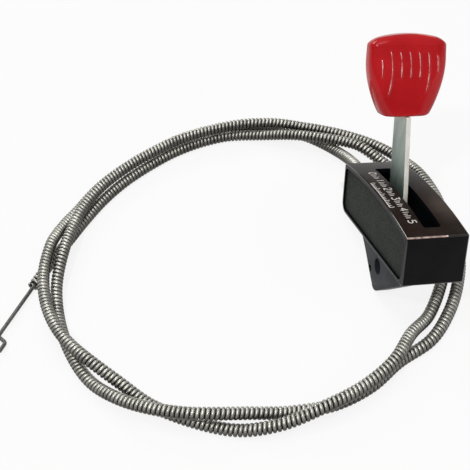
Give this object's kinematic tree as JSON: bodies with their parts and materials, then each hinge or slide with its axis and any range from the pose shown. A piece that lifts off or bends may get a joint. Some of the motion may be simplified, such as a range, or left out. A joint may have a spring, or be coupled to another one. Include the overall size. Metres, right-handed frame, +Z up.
{
  "type": "throttle cable",
  "caption": "Lever throttle control with a ribbed knob, a slotted housing with a mounting lug, and a coiled flexible cable that ends in a Z-bent wire.",
  "frame": {"origin": "on the floor, below the middle of the control's box, the cable loop left out", "axes": "+Z up from the floor that the part lies on, -Y towards the housing's nose, +X across the housing, away from its mounting lug"},
  "size_m": [0.1951, 0.1782, 0.0873],
  "materials": {
    "black_moulding": "gloss black moulded plastic",
    "textured_black": "fine grained matte black plastic",
    "red_moulding": "gloss red moulded plastic",
    "zinc_steel": "dull zinc plating",
    "spring_wire": "drawn steel wire",
    "conduit_wire": "close-wound round steel wire",
    "fibre": "pressed brown fibre"
  },
  "bodies": {
    "control": {"housing": "black_moulding", "left_side_cover": "textured_black", "right_side_cover": "textured_black", "pivot_rivet": "zinc_steel", "left_friction_washer": "fibre", "right_friction_washer": "fibre", "wave_washer": "spring_wire", "conduit_head": "conduit_wire", "conduit": "conduit_wire", "conduit_tail": "conduit_wire", "conduit_clamp": "zinc_steel", "clamp_screw": "zinc_steel"},
    "lever": {"lever": "zinc_steel", "lever_knob": "red_moulding"},
    "lever_wire": {"wire_lever_end": "spring_wire"},
    "engine_wire": {"wire_engine_end": "spring_wire"}
  },
  "joints": [
    {"name": "lever_pivot", "type": "hinge", "parent": "control", "child": "lever", "pos_m": [-0.00638, 0.00161, 0.01654], "axis": [0.9842, -0.0546, -0.1685], "range_deg": [-25, 57]},
    {"name": "lever_wire_slide", "type": "slide", "parent": "control", "child": "lever_wire", "axis": [0, -0.9512, 0.3084], "range_m": [-0.0043, 0.0097]},
    {"name": "engine_wire_slide", "type": "slide", "parent": "control", "child": "engine_wire", "axis": [0.5878, 0.809, 0], "range_m": [-0.0043, 0.0097]}
  ],
  "couplings": [
    {"joint": "lever_wire_slide", "follows": "lever_pivot", "m_per_rad": 0.0096},
    {"joint": "engine_wire_slide", "follows": "lever_pivot", "m_per_rad": 0.0096}
  ]
}
